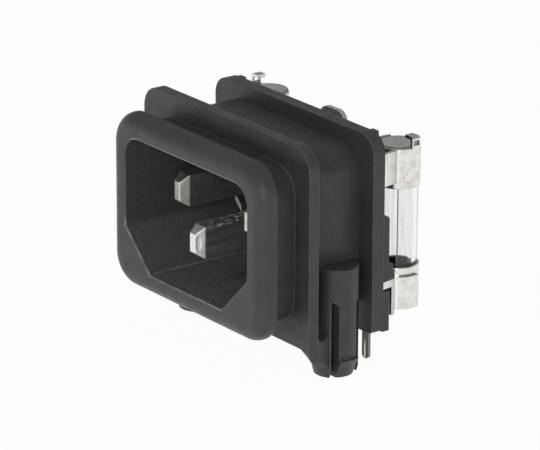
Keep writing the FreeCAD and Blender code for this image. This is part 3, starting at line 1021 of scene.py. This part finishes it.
@dataclass
class FuseSet:
    """Glass fuse in its two sprung clips, on both sides."""

    clip_finish: PlatedMetal = PlatedMetal(
        "clip_nickel", bright=(0.84, 0.835, 0.81), stained=(0.66, 0.65, 0.62), speckle=0.22,
        # the clip's edges get a dark painted outline
        edge_mm=0.1, painted_edge_tone=(0.16, 0.156, 0.14), edge_share=0.75, crease_mm=0.7, crease=0.7,
        roughness=(0.14, 0.3), grain=Grain.ALONG_SHEET, marks=(Bend(), Mottle(), DippedTail()))
    cap_finish: PlatedMetal = PlatedMetal(
        "cap_nickel", bright=(0.82, 0.815, 0.78), stained=(0.6, 0.59, 0.55), edge_mm=0.22,
        crease=0.2, roughness=(0.16, 0.32), grain=Grain.ROUND_CAP, marks=(Ring(),))
    solder_finish: PlatedMetal = PlatedMetal(
        "solder_grey", bright=(0.85, 0.85, 0.83), stained=(0.7, 0.7, 0.67), crease=0.0,
        roughness=(0.5, 0.7), dent_depth_mm=0.1)
    wire_finish: PlatedMetal = PlatedMetal(
        "wire_metal", bright=(0.5, 0.47, 0.42), crease=0.0, roughness=(0.25, 0.4), dent_depth_mm=0.005)
    glass_finish: FuseGlass = FuseGlass("fuse_glass_clear")

    def dress(self, frame: dict) -> None:
        """Gives every piece of both fuses its finish.

        Args:
            frame: the loaded frame.
        """
        clip = self.clip_finish.build()
        cap = self.cap_finish.build()
        solder = self.solder_finish.build()
        wire = self.wire_finish.build()
        glass = self.glass_finish.build()
        for side in Side:
            for end in ("upper", "lower"):
                paint(frame, f"{side.value}_{end}_clip", clip)
            for end in ("top", "bottom"):
                paint(frame, f"{side.value}_fuse_cap_{end}", cap)
                paint(frame, f"{side.value}_fuse_solder_{end}", solder)
            paint(frame, f"{side.value}_fuse_wire", wire)
            paint(frame, f"{side.value}_fuse_glass", glass)


@dataclass(frozen=True)
class Lamp:
    """Round soft lamp that faces the object, and that shows in gloss where it is mirrored."""

    name: str
    place: Point
    size: float
    power: float
    mirrored: bool = False

    def build(self) -> None:
        """Makes the lamp."""
        data = bpy.data.lights.new(self.name, "AREA")
        data.shape = "DISK"
        data.size = self.size * MM
        data.energy = self.power
        lamp = bpy.data.objects.new(self.name, data)
        lamp.visible_glossy = self.mirrored
        lamp.location = Vector(self.place) * MM
        lamp.rotation_mode = "QUATERNION"
        lamp.rotation_quaternion = (-lamp.location).to_track_quat("-Z", "Y")
        bpy.context.scene.collection.objects.link(lamp)


@dataclass
class Floor:
    """Pale floor, white for the camera, with a soft shadow."""

    height: float = -16.85
    half: float = 1600.0
    pale: float = 0.86
    camera_share: float = 0.97

    def build(self) -> None:
        """Makes the floor."""
        mesh = bpy.data.meshes.new("floor")
        h = self.half * MM
        z = self.height * MM
        mesh.from_pydata([(-h, -h, z), (h, -h, z), (h, h, z), (-h, h, z)], [], [(0, 1, 2, 3)])
        floor = bpy.data.objects.new("floor", mesh)
        bpy.context.scene.collection.objects.link(floor)
        material = bpy.data.materials.new("floor_white")
        g = Graph(material)
        diffuse = g.add("ShaderNodeBsdfDiffuse", {"Color": (self.pale, self.pale, self.pale, 1.0)})
        glow = g.add("ShaderNodeEmission", {"Color": WHITE, "Strength": 1.0})
        ray = g.add("ShaderNodeLightPath")
        mirrored = g.math("MAXIMUM", ray.outputs["Is Glossy Ray"], ray.outputs["Is Transmission Ray"])
        seen = g.product(ray.outputs["Is Camera Ray"], self.camera_share)
        share = g.math("MAXIMUM", seen, mirrored)
        mixed = g.add("ShaderNodeMixShader", {0: share, 1: diffuse.outputs[0], 2: glow.outputs[0]})
        g.surface(mixed)
        mesh.materials.append(material)


@dataclass
class Surroundings:
    """White surroundings with low walls of light and a darker ceiling.

    Each wall is given as its azimuth in degrees and its strength. Heights are the upward part of
    a ray's direction, 0 at the horizon and 1 overhead.
    """

    walls: tuple[Span, ...] = ((125.0, 1.4), (-150.0, 0.8))
    wall_top: Span = (0.25, 0.5)
    ceiling: float = 0.3
    ceiling_start: Span = (0.02, 0.16)

    def glow(self, g: Graph, direction: Socket, height: Socket) -> Socket:
        """Strength of the low walls of light round the object.

        Args:
            g: the world's graph.
            direction: direction that a ray leaves in.
            height: its upward part.

        Returns:
            The strength.
        """
        total = 0.0
        for azimuth, strength in self.walls:
            a = math.radians(azimuth)
            toward = g.add("ShaderNodeVectorMath", {0: direction, 1: (math.sin(a), -math.cos(a), 0.0)},
                           operation="DOT_PRODUCT").outputs["Value"]
            total = g.math("ADD", g.remap(toward, 0.0, 1.0, 0.0, strength), total)
        return g.product(total, g.fall(height, *self.wall_top))

    def build(self) -> None:
        """Makes the world."""
        world = bpy.data.worlds.new("studio")
        bpy.context.scene.world = world
        g = Graph(world)
        ray = g.add("ShaderNodeLightPath")
        direction = g.add("ShaderNodeTexCoord").outputs["Generated"]
        height = g.add("ShaderNodeSeparateXYZ", {0: direction}).outputs["Z"]
        sky = g.remap(height, *self.ceiling_start, 1.0, self.ceiling)
        clear = g.add("ShaderNodeBackground", {"Color": WHITE})
        room = g.add("ShaderNodeBackground", {"Color": WHITE, "Strength": sky})
        soft = g.add("ShaderNodeBackground",
                     {"Color": WHITE, "Strength": self.glow(g, direction, height)})
        lit = g.add("ShaderNodeMixShader", {
            0: ray.outputs["Is Glossy Ray"], 1: soft.outputs[0], 2: room.outputs[0]})
        seen = g.math("MAXIMUM", ray.outputs["Is Camera Ray"], ray.outputs["Is Transmission Ray"])
        mixed = g.add("ShaderNodeMixShader", {0: seen, 1: lit.outputs[0], 2: clear.outputs[0]})
        g.surface(mixed, "ShaderNodeOutputWorld")


@dataclass
class Camera:
    """Camera at the viewing angle of the photograph, with angles in degrees."""

    focal_px: float = 3977.8
    frame_px: float = 540.0
    sensor_mm: float = 36.0
    azimuth: float = 52.921
    elevation: float = 19.556
    roll: float = 0.25
    distance: float = 468.17
    target: Point = (6.176, 8.0, 0.378)
    clip_m: Span = (0.01, 20.0)

    def build(self) -> None:
        """Makes the camera and makes it the scene's own."""
        a, e, roll = (math.radians(v) for v in (self.azimuth, self.elevation, self.roll))
        back = Vector((math.sin(a) * math.cos(e), -math.cos(a) * math.cos(e), math.sin(e)))
        right = Vector((math.cos(a), math.sin(a), 0.0))
        up = Vector((-math.sin(a) * math.sin(e), math.cos(a) * math.sin(e), math.cos(e)))
        side = right * math.cos(roll) + up * math.sin(roll)
        top = up * math.cos(roll) - right * math.sin(roll)
        data = bpy.data.cameras.new("camera")
        data.sensor_width = self.sensor_mm
        data.lens = self.focal_px / self.frame_px * self.sensor_mm
        data.clip_start, data.clip_end = self.clip_m
        camera = bpy.data.objects.new("camera", data)
        turn = Matrix((side, top, back)).transposed().to_4x4()
        eye = (Vector(self.target) + back * self.distance) * MM
        camera.matrix_world = Matrix.Translation(eye) @ turn
        bpy.context.scene.collection.objects.link(camera)
        bpy.context.scene.camera = camera


@dataclass
class Studio:
    """Floor, surroundings, soft lamps and camera."""

    lamps: tuple[Lamp, ...] = (
        Lamp("front_left", (-277.0, -355.0, -18.0), 90.0, 1.0),
        Lamp("front_right", (318.0, -318.0, 110.0), 270.0, 0.56, mirrored=True),
        Lamp("front_high", (60.0, -380.0, 280.0), 240.0, 0.45),
        Lamp("overhead", (0.0, 60.0, 460.0), 300.0, 0.56),
    )

    def build(self) -> None:
        """Makes the studio."""
        Floor().build()
        Surroundings().build()
        for lamp in self.lamps:
            lamp.build()
            LOG.info("lamp %s", lamp.name)
        Camera().build()
        bpy.context.scene.view_settings.view_transform = "Standard"


def main() -> None:
    """Builds the dressed model and its studio."""
    logging.basicConfig(level=logging.INFO, format="%(message)s")
    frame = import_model()
    Housing().dress(frame)
    Carrier().dress(frame)
    Contacts().dress(frame)
    FuseSet().dress(frame)
    Studio().build()


if __name__ == "__main__":
    main()
